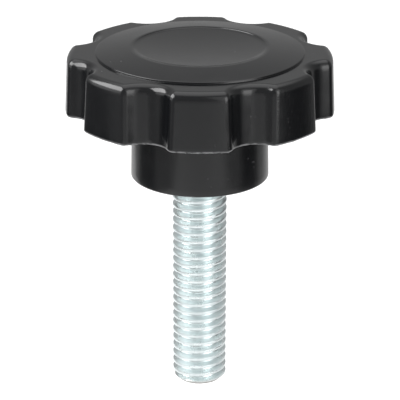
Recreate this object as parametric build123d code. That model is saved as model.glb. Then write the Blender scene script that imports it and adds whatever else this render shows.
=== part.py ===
from build123d import *
from math import cos, pi, radians, sin, sqrt, tan
import os

# Eight-arm clamping knob with a screw moulded into its hub.
# Frame: origin at the centre of the hub's seat face, +Z up through the head, and the screw hangs down -Z.
# One arm points along -Y. All sizes are in millimetres.

# Head, seen from above
arm_count = 8
arm_reach = 19.36  # axis to the flat outer face of an arm, at its lower edge
scallop_radius = 3.55  # hollow between two arms, at the lower edge
scallop_valley = 17.15  # axis to the deepest point of a hollow, at the lower edge
mould_draft = 2.6  # degrees that the arms' walls lean in, going up

# Head, seen from the side
hub_height = 9.90  # seat face to the underside of the arms
arm_height = 8.50
arm_edge_round = 1.15  # an arm's upright corners and its top edge
arm_bottom_bevel = 0.60

# Low disc and thumb dish on top
disc_diameter = 29.80
disc_step = 0.28  # upright wall of the disc above the flat ring
disc_edge_bevel = 0.10
crown_radius = 100.0  # the disc's top is part of a ball
dish_diameter = 18.95
dish_depth = 0.50

# Hub
seat_diameter = 20.00
hub_draft = 1.1  # degrees that the hub's wall leans in, going up
seat_edge_bevel = 0.20
hub_root_bevel = 0.60  # hollow corner between the hub and the arms' underside

# Screw, with its thread's crests as the outer surface
thread_diameter = 7.90
screw_length = 40.00  # under its head
screw_reach = 32.40  # standing out below the seat face
neck_diameter = 7.20  # plain neck inside the moulding
end_chamfer = 0.75
screw_head_flats = 13.00
screw_head_height = 5.30
relief_gap = 0.15  # countersink round the screw, outside its thread at the seat
relief_depth = 0.60

arms_underside = hub_height
ring_level = arms_underside + arm_height
disc_radius = disc_diameter / 2
dish_radius = dish_diameter / 2
screw_head_level = screw_length - screw_reach


def arm_outline():
    """Closed outline of the eight arms at their lower edge: flat faces and round hollows between them."""
    half_pitch = pi / arm_count
    valley_centre = scallop_valley + scallop_radius
    hollow = Vector(valley_centre * sin(half_pitch), valley_centre * cos(half_pitch))
    valley = Vector(-scallop_valley * sin(half_pitch), scallop_valley * cos(half_pitch))
    # The arm's flat face ends where the hollow's arc meets it
    face_end = Vector(hollow.X - sqrt(scallop_radius**2 - (hollow.Y - arm_reach) ** 2), arm_reach)
    other_end = Vector(-face_end.X, arm_reach)
    one_arm = [
        Line(face_end, other_end),
        ThreePointArc(other_end, valley, face_end.rotate(Axis.Z, 360 / arm_count)),
    ]
    turned = [line.rotate(Axis.Z, 180 + index * 360 / arm_count) for index in range(arm_count) for line in one_arm]
    return make_face(turned)


def make_arms():
    """The scalloped rim, leaning in with the mould's draft, rounded above and bevelled below."""
    arms = extrude(Plane.XY.offset(arms_underside) * arm_outline(), arm_height, taper=mould_draft)
    # The upright corners are rounded together with the top edge, and the bevel then follows them round
    levels = arms.edges().group_by(Axis.Z)
    arms = fillet(levels[1] + levels[-1], arm_edge_round)
    return chamfer(arms.faces().sort_by(Axis.Z)[0].edges(), arm_bottom_bevel)


def sideways_ball(radius):
    """Ball with its poles out to the sides, so that its top and underside stay free of them."""
    return Rot(90, 0, 0) * Sphere(radius)


def make_disc():
    """Low crowned disc, from inside the rim up, with the thumb dish let into it."""
    edge_level = ring_level + disc_step
    crown_centre = edge_level - sqrt(crown_radius**2 - disc_radius**2)
    dish_level = crown_centre + sqrt(crown_radius**2 - dish_radius**2)
    base_level = ring_level - arm_height / 2
    disc = Pos(0, 0, base_level) * Cylinder(disc_radius, arm_height, align=(Align.CENTER, Align.CENTER, Align.MIN))
    disc = disc & Pos(0, 0, crown_centre) * sideways_ball(crown_radius)
    disc = chamfer(disc.edges().group_by(Axis.Z)[-1], disc_edge_bevel)
    # The ball that leaves the dish meets the crown at the dish's rim
    dish_ball = (dish_radius**2 + dish_depth**2) / (2 * dish_depth)
    return disc - Pos(0, 0, dish_level - dish_depth + dish_ball) * sideways_ball(dish_ball)


def make_hub():
    """Hub from the seat face up into the rim, slightly wider at the seat."""
    top_level = arms_underside + arm_height / 2
    root_level = arms_underside - hub_root_bevel

    def wall(level):
        return seat_diameter / 2 - level * tan(radians(hub_draft))

    with BuildSketch(Plane.XZ) as profile:
        with BuildLine():
            Polyline(
                (0, 0),
                (seat_diameter / 2 - seat_edge_bevel, 0),
                (wall(seat_edge_bevel), seat_edge_bevel),
                (wall(root_level), root_level),
                (wall(root_level) + hub_root_bevel, arms_underside),
                (wall(root_level) + hub_root_bevel, top_level),
                (0, top_level),
                close=True,
            )
        make_face()
    return revolve(profile.sketch, Axis.Z)


def make_screw():
    """Screw with its chamfered end down, and its neck and hex head up inside the moulding."""
    thread = Cylinder(thread_diameter / 2, screw_reach, align=(Align.CENTER, Align.CENTER, Align.MAX))
    thread = chamfer(thread.faces().sort_by(Axis.Z)[0].edges(), end_chamfer)
    neck = Cylinder(neck_diameter / 2, screw_head_level, align=(Align.CENTER, Align.CENTER, Align.MIN))
    head = extrude(
        Plane.XY.offset(screw_head_level) * RegularPolygon(screw_head_flats / 2, 6, major_radius=False),
        screw_head_height,
    )
    return thread + neck + head


def make_head(screw):
    """The whole moulding, closed round the screw and countersunk where the screw leaves it."""
    moulding = make_arms() + make_hub() + make_disc()
    relief = Cone(
        thread_diameter / 2 + relief_gap,
        neck_diameter / 2,
        relief_depth,
        align=(Align.CENTER, Align.CENTER, Align.MIN),
    )
    return moulding - relief - screw


os.makedirs("parts", exist_ok=True)
screw = make_screw()
export_step(make_head(screw), "parts/knob_head.step")
export_step(screw, "parts/threaded_stud.step")
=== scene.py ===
import math
import bmesh
import bpy
from mathutils import Matrix, Vector, noise


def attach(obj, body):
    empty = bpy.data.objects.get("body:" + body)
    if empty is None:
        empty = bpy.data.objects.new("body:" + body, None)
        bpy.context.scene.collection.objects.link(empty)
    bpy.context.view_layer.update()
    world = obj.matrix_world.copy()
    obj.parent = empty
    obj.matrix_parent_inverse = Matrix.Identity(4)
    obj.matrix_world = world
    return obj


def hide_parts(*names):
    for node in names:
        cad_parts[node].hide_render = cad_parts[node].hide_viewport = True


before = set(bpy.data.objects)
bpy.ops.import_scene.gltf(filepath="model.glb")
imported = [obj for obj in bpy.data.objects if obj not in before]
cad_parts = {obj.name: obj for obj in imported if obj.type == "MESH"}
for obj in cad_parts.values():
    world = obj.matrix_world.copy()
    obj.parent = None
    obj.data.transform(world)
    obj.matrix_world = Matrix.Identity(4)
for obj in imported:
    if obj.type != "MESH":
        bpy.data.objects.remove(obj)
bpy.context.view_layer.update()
mm = 0.001


# Head: one glossy black moulding, with the screw's head closed inside it. Sizes in millimetres

knob = {
    "arms": 8,
    "armReach": 19.345,  # axis to an arm's outer face, at its lower edge
    "scallopRadius": 3.55,
    "scallopValley": 17.15,
    "armRound": 1.15,  # upright corners and top edge
    "draft": 2.6,  # degrees
    "hubHeight": 9.90,
    "armHeight": 8.50,
    "lowerRound": 0.40,
    "discRadius": 14.90,
    "discStep": 0.28,
    "discRound": 0.12,
    "crownRadius": 100.0,
    "dishRadius": 9.475,
    "dishDepth": 0.50,
    "dishStep": 0.08,  # small step down from the crown into the dish
    "dishEdge": 0.03,  # half the width of that step
    "seatRadius": 10.0,
    "hubDraft": 1.1,
    "seatRound": 0.22,
    "hubRoot": 0.60,
    "relief": 4.10,
    "reliefDepth": 0.60,
    "flash": 0.05,  # how far the ragged seam left by the mould stands out
    "fin": 0.10,  # how far it hangs down
    "finLeast": 0.4,  # share of the fin that hangs where nothing is torn
    "tearScales": (2.3, 6.1),  # waves of the torn seam, coarse and fine
    "seed": 11,
    "cove": 0.02,  # hollow corner at the disc's foot
    "tightest": 0.02,  # smallest radius of the arms' corners
    "middleRadius": 90.0,  # ball that the innermost patch of the dish follows
    "cornerPoints": 12,
    "facePoints": 8,
    "hollowPoints": 30,
}


def arcPoints(centre, radius, start, end, count):
    # count points from start, without the end point, which begins the next stretch
    turns = [start + (end - start) * i / count for i in range(count)]
    return [(centre[0] + radius * math.cos(a), centre[1] + radius * math.sin(a)) for a in turns]


def rimOutline(inset, rounding):
    # outline of the arms, moved inwards by inset and with corners of radius rounding; every level has
    # the same points. The arms' faces are parts of one circle about the axis, so the corner's arc lies
    # inside that circle and touches the hollow's arc from outside
    half = math.pi / knob["arms"]
    away = knob["scallopValley"] + knob["scallopRadius"]
    face = knob["armReach"] - inset
    reach = face - rounding
    between = knob["scallopRadius"] + inset + rounding
    turn = half - math.acos((reach**2 + away**2 - between**2) / (2 * reach * away))
    corner = Vector((reach * math.sin(turn), reach * math.cos(turn)))
    hollow = Vector((away * math.sin(half), away * math.cos(half)))
    toHollow = math.atan2(hollow.y - corner.y, hollow.x - corner.x)
    faceStart = math.pi / 2 - turn
    start = math.atan2(corner.y - hollow.y, hollow.x - corner.x)
    middle = math.atan2(-hollow.y, hollow.x)
    arm = arcPoints(corner, rounding, toHollow, faceStart, knob["cornerPoints"])
    faceEnd = math.pi - faceStart
    arm += arcPoints((0, 0), face, faceStart, faceEnd, knob["facePoints"])
    arm += arcPoints((-corner.x, corner.y), rounding, faceEnd, math.pi - toHollow, knob["cornerPoints"])
    scallop = knob["scallopRadius"] + inset
    arm += arcPoints((-hollow.x, hollow.y), scallop, start, 2 * middle - start, knob["hollowPoints"])
    points = []
    for index in range(knob["arms"]):
        angle = math.pi + index * 2 * math.pi / knob["arms"]
        c, s = math.cos(angle), math.sin(angle)
        points += [(x * c - y * s, x * s + y * c) for x, y in arm]
    return points


def fractions(count):
    # the shares 1/count, 2/count and so on, up to 1
    return [i / count for i in range(1, count + 1)]


def circlePoints(radius, directions):
    return [(radius * math.cos(a), radius * math.sin(a)) for a in directions]


def hexPoints(flats, directions):
    sixth = math.pi / 3
    out = []
    for a in directions:
        off = (a + sixth / 2) % sixth - sixth / 2
        reach = flats / 2 / math.cos(off)
        out.append((reach * math.cos(a), reach * math.sin(a)))
    return out


def mix(a, b, share):
    return [(p[0] + (q[0] - p[0]) * share, p[1] + (q[1] - p[1]) * share) for p, q in zip(a, b)]


def flashPoint(x, y, level, share):
    # the seam stands out halfway round the lower edge and hangs down where the underside begins
    spot = Vector((x, y, knob["seed"]))
    coarse, fine = knob["tearScales"]
    torn = max(0, noise.noise(spot * coarse) + 0.5 * noise.noise(spot * fine))
    grow = 1 + knob["flash"] * torn * math.sin(math.pi * share) / math.hypot(x, y)
    return x * grow, y * grow, level - knob["fin"] * (knob["finLeast"] + torn) * share**4


def headRings():
    # rings of points from the middle of the dish, over the rim, down the hub and up the bore
    rings = []
    outline = rimOutline(0, knob["armRound"])
    directions = [math.atan2(y, x) for x, y in outline]
    ringLevel = knob["hubHeight"] + knob["armHeight"]
    edgeLevel = ringLevel + knob["discStep"]
    crownCentre = edgeLevel - math.sqrt(knob["crownRadius"] ** 2 - knob["discRadius"] ** 2)
    rimLevel = crownCentre + math.sqrt(knob["crownRadius"] ** 2 - knob["dishRadius"] ** 2)
    hollow = knob["dishDepth"] - knob["dishStep"]
    ball = (knob["dishRadius"] ** 2 + hollow**2) / (2 * hollow)
    ballCentre = rimLevel - knob["dishDepth"] + ball

    def dishLevel(radius):
        return ballCentre - math.sqrt(ball**2 - radius**2)

    def crownLevel(radius):
        return crownCentre + math.sqrt(knob["crownRadius"] ** 2 - radius**2)

    def addCircle(radius, level):
        rings.append([(x, y, level) for x, y in circlePoints(radius, directions)])

    def addPoints(points, level):
        rings.append([(x, y, level) for x, y in points])

    inner = knob["dishRadius"] - knob["dishEdge"]
    outer = knob["dishRadius"] + knob["dishEdge"]
    for share in fractions(14):
        addCircle(inner * share, dishLevel(inner * share))
    for share in fractions(6)[:-1]:
        # the step is soft where it leaves the dish and where it meets the crown
        rise = (crownLevel(outer) - dishLevel(inner)) * share * share * (3 - 2 * share)
        addCircle(inner + (outer - inner) * share, dishLevel(inner) + rise)
    last = knob["discRadius"] - knob["discRound"]
    for share in [0, *fractions(8)]:
        radius = outer + (last - outer) * share
        addCircle(radius, crownLevel(radius))
    for share in fractions(5):
        a = math.pi / 2 * share
        drop = knob["discRound"] * (1 - math.cos(a))
        addCircle(last + knob["discRound"] * math.sin(a), crownLevel(last) - drop)
    cove = knob["cove"]
    addCircle(knob["discRadius"], ringLevel + cove)
    addCircle(knob["discRadius"] + cove * 0.3, ringLevel + cove * 0.3)
    addCircle(knob["discRadius"] + cove, ringLevel)

    lean = math.radians(knob["draft"])
    around = knob["armRound"]
    roundInset = (knob["armHeight"] - around) * math.tan(lean) + around / math.cos(lean)
    tightest = knob["tightest"]
    topEdge = rimOutline(roundInset, tightest)
    footCircle = circlePoints(knob["discRadius"] + cove, directions)
    for share in (0.08, 0.35, 0.65, 0.96):
        addPoints(mix(footCircle, topEdge, share), ringLevel)
    roundCentre = ringLevel - around
    for share in [0, *fractions(10)]:
        # the corners are parts of balls here
        a = math.pi / 2 - (math.pi / 2 - lean) * share
        reach = around * math.cos(a)
        outline = rimOutline(roundInset - reach, max(reach, tightest))
        addPoints(outline, roundCentre + around * math.sin(a))
    wallTop = roundCentre + around * math.sin(lean)
    wallFoot = knob["hubHeight"] + knob["lowerRound"]
    for share in fractions(16):
        level = wallTop + (wallFoot - wallTop) * share
        addPoints(rimOutline((level - knob["hubHeight"]) * math.tan(lean), around), level)
    footInset = (wallFoot - knob["hubHeight"]) * math.tan(lean)
    for share in fractions(8):
        a = math.pi / 2 * share
        step = knob["lowerRound"] * (1 - math.cos(a))
        level = wallFoot - knob["lowerRound"] * math.sin(a)
        outline = rimOutline(footInset + step, around - step)
        rings.append([flashPoint(x, y, level, share) for x, y in outline])
    underEdge = rimOutline(footInset + knob["lowerRound"], around - knob["lowerRound"])

    hubLean = math.tan(math.radians(knob["hubDraft"]))
    rootLevel = knob["hubHeight"] - knob["hubRoot"]
    rootRadius = knob["seatRadius"] - rootLevel * hubLean
    rootCircle = circlePoints(rootRadius + knob["hubRoot"], directions)
    for share in (0.04, 0.3, 0.6, 0.95):
        addPoints(mix(underEdge, rootCircle, share), knob["hubHeight"])
    for share in [0, *fractions(6)]:
        a = math.pi / 2 * share
        radius = rootRadius + knob["hubRoot"] * (1 - math.sin(a))
        addCircle(radius, rootLevel + knob["hubRoot"] * math.cos(a))
    for share in fractions(10):
        level = rootLevel + (knob["seatRound"] - rootLevel) * share
        addCircle(knob["seatRadius"] - level * hubLean, level)
    for share in fractions(5):
        a = math.pi / 2 * share
        radius = knob["seatRadius"] - knob["seatRound"] * (1 - math.cos(a))
        addCircle(radius, knob["seatRound"] * (1 - math.sin(a)))
    for share in (0.05, 0.5, 0.97):
        radius = knob["seatRadius"] - knob["seatRound"]
        addCircle(radius + (knob["relief"] - radius) * share, 0)
    addCircle(knob["relief"], 0)
    addCircle(screw["neckRadius"], knob["reliefDepth"])
    addCircle(screw["neckRadius"], screw["headLevel"])
    addPoints(hexPoints(screw["headFlats"], directions), screw["headLevel"])
    addPoints(hexPoints(screw["headFlats"], directions), screw["headLevel"] + screw["headHeight"])
    return rings


def skinRings(name, rings, firstLevel, lastLevel):
    # closes the rings into one skin, with a middle point at each end
    size = len(rings[0])
    points = [Vector(p) * mm for ring in rings for p in ring]
    faces = []
    for i in range(len(rings) - 1):
        for j in range(size):
            after = (j + 1) % size
            faces.append((i * size + j, (i + 1) * size + j, (i + 1) * size + after, i * size + after))
    first = len(points)
    points.append(Vector((0, 0, firstLevel)) * mm)
    points.append(Vector((0, 0, lastLevel)) * mm)
    end = (len(rings) - 1) * size
    for j in range(size):
        after = (j + 1) % size
        faces.append((first, j, after))
        faces.append((first + 1, end + after, end + j))
    mesh = bpy.data.meshes.new(name)
    mesh.from_pydata(points, [], faces)
    mesh.shade_smooth()
    return mesh


def makeHead():
    rings = headRings()
    x, y, level = rings[0][0]
    dishMiddle = level - (x**2 + y**2) / (2 * knob["middleRadius"])
    mesh = skinRings("knobHead", rings, dishMiddle, screw["headLevel"] + screw["headHeight"])
    head = bpy.data.objects.new("knobHead", mesh)
    bpy.context.scene.collection.objects.link(head)
    return head


# Screw: rolled thread on a zinc-plated shank, with its plain neck and hex head inside the moulding.
# Sizes in millimetres

screw = {
    "pitch": 1.25,
    "crest": 3.95,
    "root": 3.20,
    "crestAt": -0.297,  # level of a crest on the +X side
    "reach": 32.40,
    "chamfer": 0.75,
    "neckRadius": 3.60,
    "headLevel": 7.60,
    "headHeight": 5.30,
    "headFlats": 13.00,
    "crestHalf": 0.30,  # share of half a pitch
    "rootHalf": 0.20,
    "crestDrop": 0.015,
    "rootLift": 0.06,
    "sharpFrom": 0.6,  # radians between two faces that meet in a crisp edge
    "spare": 2,  # pitches made beyond each end and cut off
    "rows": 20,  # rows of points to one pitch
    "columns": 120,
}


def threadRadius(turn):
    # turn is the distance from a crest, in pitches: a wide rolled crest, straight flanks and a round root
    away = abs((turn + 0.5) % 1 - 0.5) * 2
    crestHalf, rootHalf = screw["crestHalf"], screw["rootHalf"]
    if away < crestHalf:
        return screw["crest"] - screw["crestDrop"] * (away / crestHalf) ** 2
    if away > 1 - rootHalf:
        return screw["root"] + screw["rootLift"] * ((1 - away) / rootHalf) ** 2
    top = screw["crest"] - screw["crestDrop"]
    foot = screw["root"] + screw["rootLift"]
    return top + (foot - top) * (away - crestHalf) / (1 - rootHalf - crestHalf)


def threadGrid():
    # rows follow the helix, so that every crest runs along the mesh
    rows, columns, pitch = screw["rows"], screw["columns"], screw["pitch"]
    first = math.floor(-screw["reach"] / pitch - screw["spare"]) * rows
    last = screw["spare"] * rows
    points = []
    for i in range(first, last + 1):
        radiusHere = threadRadius(i / rows)
        for j in range(columns):
            angle = 2 * math.pi * j / columns
            level = screw["crestAt"] + pitch * (i / rows + j / columns)
            endRadius = screw["crest"] - screw["chamfer"] + (level + screw["reach"])
            radius = max(min(radiusHere, endRadius), screw["crest"] - screw["chamfer"])
            points.append(Vector((radius * math.cos(angle), radius * math.sin(angle), level)) * mm)
    faces = []
    count = last - first + 1
    for i in range(count - 1):
        for j in range(columns - 1):
            a = i * columns + j
            faces.append((a, a + 1, a + columns + 1, a + columns))
        if i + 1 + rows < count:
            a = i * columns + columns - 1
            b = (i + rows) * columns
            faces.append((a, b, b + columns, a + columns))
    return points, faces


def cutThread(mesh):
    # cuts the thread square at both ends, closes its tip and draws the neck and hex head from its top
    work = bmesh.new()
    work.from_mesh(mesh)
    for level, up in ((-screw["reach"], -1), (0, 1)):
        everything = work.verts[:] + work.edges[:] + work.faces[:]
        bmesh.ops.bisect_plane(
            work,
            geom=everything,
            plane_co=(0, 0, level * mm),
            plane_no=(0, 0, up),
            clear_outer=True,
        )
    loose = [v for v in work.verts if not v.link_faces]
    bmesh.ops.delete(work, geom=loose, context="VERTS")
    tipEdges = [e for e in work.edges if e.is_boundary and e.verts[0].co.z < -screw["reach"] / 2 * mm]
    bmesh.ops.contextual_create(work, geom=tipEdges)
    edges = [e for e in work.edges if e.is_boundary]
    headFoot = screw["headLevel"]
    headTop = headFoot + screw["headHeight"]
    steps = [("round", 0), ("round", headFoot), ("hex", headFoot), ("hex", headTop)]
    for form, level in steps:
        made = bmesh.ops.extrude_edge_only(work, edges=edges)["geom"]
        edges = [g for g in made if isinstance(g, bmesh.types.BMEdge) and g.is_boundary]
        for v in {v for e in edges for v in e.verts}:
            angle = math.atan2(v.co.y, v.co.x)
            x, y = circlePoints(screw["neckRadius"], [angle])[0]
            if form == "hex":
                x, y = hexPoints(screw["headFlats"], [angle])[0]
            v.co = Vector((x, y, level)) * mm
    bmesh.ops.contextual_create(work, geom=edges)
    bmesh.ops.recalc_face_normals(work, faces=work.faces[:])
    manyCorners = 8  # only the two flat ends have more
    for f in work.faces:
        f.smooth = len(f.verts) < manyCorners
    for e in work.edges:
        e.smooth = e.calc_face_angle(0) < screw["sharpFrom"]
    work.to_mesh(mesh)
    work.free()


def makeScrew():
    points, faces = threadGrid()
    mesh = bpy.data.meshes.new("threadedStud")
    mesh.from_pydata(points, [], faces)
    cutThread(mesh)
    stud = bpy.data.objects.new("threadedStud", mesh)
    bpy.context.scene.collection.objects.link(stud)
    return stud


# Materials, with sizes in metres


def newMaterial(name):
    material = bpy.data.materials.new(name)
    material.use_nodes = True
    tree = material.node_tree
    return material, tree, tree.nodes["Principled BSDF"]


def addNoise(tree, where, scale, detail):
    node = tree.nodes.new("ShaderNodeTexNoise")
    node.inputs["Scale"].default_value = scale
    node.inputs["Detail"].default_value = detail
    tree.links.new(where.outputs["Object"], node.inputs["Vector"])
    return node


def addSpread(tree, source, low, high, toLow, toHigh):
    node = tree.nodes.new("ShaderNodeMapRange")
    node.inputs["From Min"].default_value = low
    node.inputs["From Max"].default_value = high
    node.inputs["To Min"].default_value = toLow
    node.inputs["To Max"].default_value = toHigh
    tree.links.new(source, node.inputs["Value"])
    return node


def addColourMix(tree, factor, first, second):
    node = tree.nodes.new("ShaderNodeMix")
    node.data_type = "RGBA"
    node.inputs["A"].default_value = first
    node.inputs["B"].default_value = second
    tree.links.new(factor, node.inputs["Factor"])
    return node


def addMath(tree, operation, first, second):
    node = tree.nodes.new("ShaderNodeMath")
    node.operation = operation
    for socket, value in zip(node.inputs, (first, second)):
        if isinstance(value, (int, float)):
            socket.default_value = value
        else:
            tree.links.new(value, socket)
    return node.outputs["Value"]


plastic = {
    "colour": (0.0026, 0.0029, 0.0036, 1),
    "roughness": 0.17,
    "grain": 0.05,
    "pits": 0.55,  # grain of the worn arm at the front right
    "pitsRight": (0.0085, 0.0105),  # metres from the axis, where the pits begin and are full
    "pitsFront": (-0.006, -0.008),
    "pitsTop": (0.0182, 0.0178),
    "dustFlashAndSheenColour": (0.16, 0.16, 0.165, 1),
    "specks": 0.35,  # how pale the specks of dust are beside the pale seam
    "seamLevel": 0.01002,  # metres, middle of the seam along the arms' lower edges, painted pale: partly trimmed flash, partly a painted highlight of the edge
    "seamHalf": 0.00012,
    "dustScale": 2600,
    "dustFrom": (0.71, 0.78),  # how high the noise is where a speck begins and where it is full
    "patchScale": 140,
    "patchFrom": (0.50, 0.66),
    "tearScale": 900,
    "tearFrom": (0.42, 0.60),
    "tearLeast": 0.2,
    "cloudScale": 320,
    "cloudFrom": (0.3, 0.7),
    "roughnessSwing": (-0.03, 0.04),
    "paleRoughness": 0.3,  # what a pale speck or the pale seam adds
    "grainScale": 3800,
    "grainDepth": 0.00004,
}


def makePlastic():
    material, tree, shader = newMaterial("blackMoulding")
    where = tree.nodes.new("ShaderNodeTexCoord")
    # specks of dust lie in patches
    dust = addNoise(tree, where, plastic["dustScale"], 1)
    patch = addNoise(tree, where, plastic["patchScale"], 2)
    speck = addSpread(tree, dust.outputs["Fac"], *plastic["dustFrom"], 0, plastic["specks"])
    place = addSpread(tree, patch.outputs["Fac"], *plastic["patchFrom"], 0, 1)
    specks = addMath(tree, "MULTIPLY", speck.outputs["Result"], place.outputs["Result"])
    # the torn seam is pale in places: partly trimmed flash, partly a painted highlight where the lower edge
    # catches the floor's light
    split = tree.nodes.new("ShaderNodeSeparateXYZ")
    tree.links.new(where.outputs["Object"], split.inputs[0])
    away = addMath(tree, "ABSOLUTE", addMath(tree, "SUBTRACT", split.outputs["Z"], plastic["seamLevel"]), 0)
    near = addSpread(tree, away, plastic["seamHalf"], 2 * plastic["seamHalf"], 1, 0)
    tear = addNoise(tree, where, plastic["tearScale"], 2)
    torn = addSpread(tree, tear.outputs["Fac"], *plastic["tearFrom"], plastic["tearLeast"], 1)
    # painted highlight along the lower edge, mixed with the pale trimmed flash
    flashAndSheen = addMath(tree, "MULTIPLY", near.outputs["Result"], torn.outputs["Result"])
    dustFlashAndSheen = addMath(tree, "MAXIMUM", specks, flashAndSheen)
    # pale colour: real dust specks, and along the seam trimmed flash with a painted highlight
    colour = addColourMix(tree, dustFlashAndSheen, plastic["colour"], plastic["dustFlashAndSheenColour"])
    tree.links.new(colour.outputs["Result"], shader.inputs["Base Color"])
    cloud = addNoise(tree, where, plastic["cloudScale"], 3)
    swing = [plastic["roughness"] + change for change in plastic["roughnessSwing"]]
    rough = addSpread(tree, cloud.outputs["Fac"], *plastic["cloudFrom"], *swing)
    duller = addMath(tree, "MULTIPLY", dustFlashAndSheen, plastic["paleRoughness"])
    dulled = addMath(tree, "ADD", rough.outputs["Result"], duller)
    tree.links.new(dulled, shader.inputs["Roughness"])
    grain = addNoise(tree, where, plastic["grainScale"], 2)
    bump = tree.nodes.new("ShaderNodeBump")
    worn = addSpread(tree, split.outputs["X"], *plastic["pitsRight"], 0, 1)
    front = addSpread(tree, split.outputs["Y"], *plastic["pitsFront"], 0, 1)
    low = addSpread(tree, split.outputs["Z"], *plastic["pitsTop"], 0, 1)
    wear = addMath(tree, "MULTIPLY", worn.outputs["Result"], front.outputs["Result"])
    wear = addMath(tree, "MULTIPLY", wear, low.outputs["Result"])
    strength = addMath(tree, "ADD", addMath(tree, "MULTIPLY", wear, plastic["pits"]), plastic["grain"])
    tree.links.new(strength, bump.inputs["Strength"])
    bump.inputs["Distance"].default_value = plastic["grainDepth"]
    tree.links.new(grain.outputs["Fac"], bump.inputs["Height"])
    tree.links.new(bump.outputs["Normal"], shader.inputs["Normal"])
    return material


zinc = {
    "colour": (0.80, 0.865, 0.87, 1),
    "dull": (0.70, 0.765, 0.775, 1),
    "roughness": 0.28,
    "metal": 1,
    "tipColour": (0.22, 0.18, 0.145, 1),
    "tipLevel": -0.0324,  # metres, where the zinc is worn off the screw's end
    "tipHeight": 0.0008,
    "tipWear": 0.9,
    "cloudScale": 420,
    "dullFrom": (0.45, 0.75),
    "cloudFrom": (0.3, 0.7),
    "roughnessSwing": (-0.05, 0.08),
    "grain": 0.06,
    "grainScale": 2600,
    "grainDepth": 0.00005,
}


def makeZinc():
    material, tree, shader = newMaterial("zincPlatedSteel")
    shader.inputs["Metallic"].default_value = zinc["metal"]
    where = tree.nodes.new("ShaderNodeTexCoord")
    cloud = addNoise(tree, where, zinc["cloudScale"], 3)
    share = addSpread(tree, cloud.outputs["Fac"], *zinc["dullFrom"], 0, 1)
    colour = addColourMix(tree, share.outputs["Result"], zinc["colour"], zinc["dull"])
    split = tree.nodes.new("ShaderNodeSeparateXYZ")
    tree.links.new(where.outputs["Object"], split.inputs[0])
    tipTop = zinc["tipLevel"] + zinc["tipHeight"]
    tip = addSpread(tree, split.outputs["Z"], zinc["tipLevel"], tipTop, zinc["tipWear"], 0)
    worn = addColourMix(tree, tip.outputs["Result"], zinc["colour"], zinc["tipColour"])
    tree.links.new(colour.outputs["Result"], worn.inputs["A"])
    tree.links.new(worn.outputs["Result"], shader.inputs["Base Color"])
    swing = [zinc["roughness"] + change for change in zinc["roughnessSwing"]]
    rough = addSpread(tree, cloud.outputs["Fac"], *zinc["cloudFrom"], *swing)
    tree.links.new(rough.outputs["Result"], shader.inputs["Roughness"])
    grain = addNoise(tree, where, zinc["grainScale"], 2)
    bump = tree.nodes.new("ShaderNodeBump")
    bump.inputs["Strength"].default_value = zinc["grain"]
    bump.inputs["Distance"].default_value = zinc["grainDepth"]
    tree.links.new(grain.outputs["Fac"], bump.inputs["Height"])
    tree.links.new(bump.outputs["Normal"], shader.inputs["Normal"])
    return material


# Studio: pale floor, white background, soft light, and the camera at the photograph's angle

studio = {
    "floorLevel": -0.13,
    "floorSides": (-0.27, 0.29),  # narrow, so that the sides of the object see the darker surroundings
    "floorLength": 3.0,
    "floorColour": (0.68, 0.68, 0.68, 1),
    "floorRoughness": 0.9,
    "floorWhite": 0.5,  # what the camera sees on top of the floor's own light
    "ring": 0.24,  # painted pool of light: a brighter ring of the floor round the object, glowing only in the gloss
    "lightPoolRadius": 0.26,
    "lightPoolHalf": (0.05, 0.09),  # full light within the first and none beyond the second
    "skyFill": 0.50,  # light that the surroundings give
    "skyLow": 0.42,  # how bright they look in the gloss, away from the patches
    # patches of the surroundings, seen in the gloss: angles from the front and up, full inside
    # inner and nothing beyond outer
    "patches": (
        {"turn": 180, "height": 80, "inner": 10, "outer": 47, "light": 1.5},
        {"turn": 92, "height": -18, "inner": 8, "outer": 24, "light": -0.34},
        {"turn": -100, "height": -22, "inner": 8, "outer": 26, "light": -0.30},
    ),
    "boxes": (
        {"turn": -80, "height": 36, "away": 0.70, "size": (0.68, 0.47), "power": 6.5},
        {"turn": -80, "height": 25, "away": 0.70, "size": (0.62, 0.92), "power": 2.0},
        {"turn": 44, "height": 11, "away": 0.80, "size": (0.50, 0.60), "power": 2.1},
        {"turn": 42, "height": 20, "away": 0.85, "size": (0.90, 1.00), "power": 2.0},
    ),
}


def direction(turn, height):
    # both in degrees: turn goes from the front to the right, and height goes up
    turn, height = math.radians(turn), math.radians(height)
    return Vector((math.sin(turn) * math.cos(height), -math.cos(turn) * math.cos(height), math.sin(height)))


def makeFloor():
    left, right = studio["floorSides"]
    y = studio["floorLength"] / 2
    corners = [(left, -y), (right, -y), (right, y), (left, y)]
    mesh = bpy.data.meshes.new("floor")
    mesh.from_pydata([(x, y, 0) for x, y in corners], [], [(0, 1, 2, 3)])
    floor = bpy.data.objects.new("floor", mesh)
    floor.location.z = studio["floorLevel"]
    bpy.context.scene.collection.objects.link(floor)
    material, tree, shader = newMaterial("paleFloor")
    shader.inputs["Base Color"].default_value = studio["floorColour"]
    shader.inputs["Roughness"].default_value = studio["floorRoughness"]
    shader.inputs["Emission Color"].default_value = (1, 1, 1, 1)
    path = tree.nodes.new("ShaderNodeLightPath")
    lift = addMath(tree, "MULTIPLY", path.outputs["Is Camera Ray"], studio["floorWhite"])
    where = tree.nodes.new("ShaderNodeTexCoord")
    distance = tree.nodes.new("ShaderNodeVectorMath")
    distance.operation = "LENGTH"
    tree.links.new(where.outputs["Object"], distance.inputs[0])
    # painted pool of light on the floor round the object, seen only by glossy rays
    fromLightPool = addMath(tree, "SUBTRACT", distance.outputs["Value"], studio["lightPoolRadius"])
    off = addMath(tree, "ABSOLUTE", fromLightPool, 0)
    ring = addSpread(tree, off, *studio["lightPoolHalf"], studio["ring"], 0)
    gloss = addMath(tree, "MULTIPLY", path.outputs["Is Glossy Ray"], ring.outputs["Result"])
    tree.links.new(addMath(tree, "ADD", lift, gloss), shader.inputs["Emission Strength"])
    mesh.materials.append(material)


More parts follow.
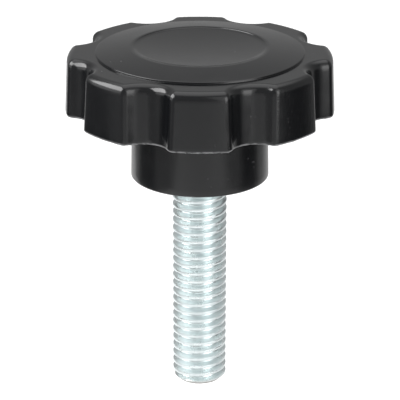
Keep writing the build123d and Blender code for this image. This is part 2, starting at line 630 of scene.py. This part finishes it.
def makeSky():
    world = bpy.data.worlds.new("studio")
    world.use_nodes = True
    tree = world.node_tree
    background = tree.nodes["Background"]
    background.inputs["Color"].default_value = (1, 1, 1, 1)
    path = tree.nodes.new("ShaderNodeLightPath")
    where = tree.nodes.new("ShaderNodeTexCoord")
    gloss = studio["skyLow"]
    for patch in studio["patches"]:
        toPatch = tree.nodes.new("ShaderNodeVectorMath")
        toPatch.operation = "DOT_PRODUCT"
        toPatch.inputs[1].default_value = direction(patch["turn"], patch["height"])
        tree.links.new(where.outputs["Generated"], toPatch.inputs[0])
        edges = math.cos(math.radians(patch["outer"])), math.cos(math.radians(patch["inner"]))
        glow = addSpread(tree, toPatch.outputs["Value"], *edges, 0, patch["light"])
        glow.interpolation_type = "SMOOTHSTEP"
        gloss = addMath(tree, "ADD", glow.outputs["Result"], gloss)
    seen = addMath(tree, "MAXIMUM", path.outputs["Is Glossy Ray"], path.outputs["Is Transmission Ray"])
    gloss = addMath(tree, "MULTIPLY", seen, gloss)
    fill = addMath(tree, "MULTIPLY", addMath(tree, "SUBTRACT", 1, seen), studio["skyFill"])
    light = addMath(tree, "ADD", gloss, fill)
    white = addMath(tree, "MAXIMUM", light, path.outputs["Is Camera Ray"])
    tree.links.new(white, background.inputs["Strength"])
    bpy.context.scene.world = world


def makeLights():
    for index, one in enumerate(studio["boxes"]):
        light = bpy.data.lights.new(f"softbox{index + 1}", "AREA")
        light.shape = "RECTANGLE"
        light.size, light.size_y = one["size"]
        light.energy = one["power"]
        way = direction(one["turn"], one["height"])
        box = bpy.data.objects.new(light.name, light)
        box.location = way * one["away"]
        box.rotation_euler = (-way).to_track_quat("-Z", "Y").to_euler()
        box.visible_camera = False
        bpy.context.scene.collection.objects.link(box)


camera = {
    "distance": 316.05,  # millimetres from the target
    "elevation": 21.113,  # degrees
    "target": (0.040, 0, -4.194),
    "lens": 194.45,
    "roll": 0.122,
    "sensor": 36,
    "clip": (0.01, 20),
}


def makeCamera():
    data = bpy.data.cameras.new("photoView")
    data.lens = camera["lens"]
    data.sensor_width = camera["sensor"]
    data.clip_start, data.clip_end = camera["clip"]
    view = bpy.data.objects.new("photoView", data)
    target = Vector(camera["target"]) * mm
    tilt = math.radians(camera["elevation"])
    back = Vector((0, -math.cos(tilt), math.sin(tilt)))
    roll = Matrix.Rotation(math.radians(camera["roll"]), 3, "Z")
    turn = (-back).to_track_quat("-Z", "Y").to_matrix() @ roll
    view.matrix_world = Matrix.Translation(target + back * camera["distance"] * mm) @ turn.to_4x4()
    bpy.context.scene.collection.objects.link(view)
    bpy.context.scene.camera = view


print("stage: head")
head = makeHead()
head.data.materials.append(makePlastic())
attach(head, "root")
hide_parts("knob_head")

print("stage: screw")
stud = makeScrew()
stud.data.materials.append(makeZinc())
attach(stud, "root")
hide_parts("threaded_stud")

print("stage: studio")
bpy.context.scene.view_settings.view_transform = "Standard"
makeFloor()
makeSky()
makeLights()
makeCamera()

print("stage: done")
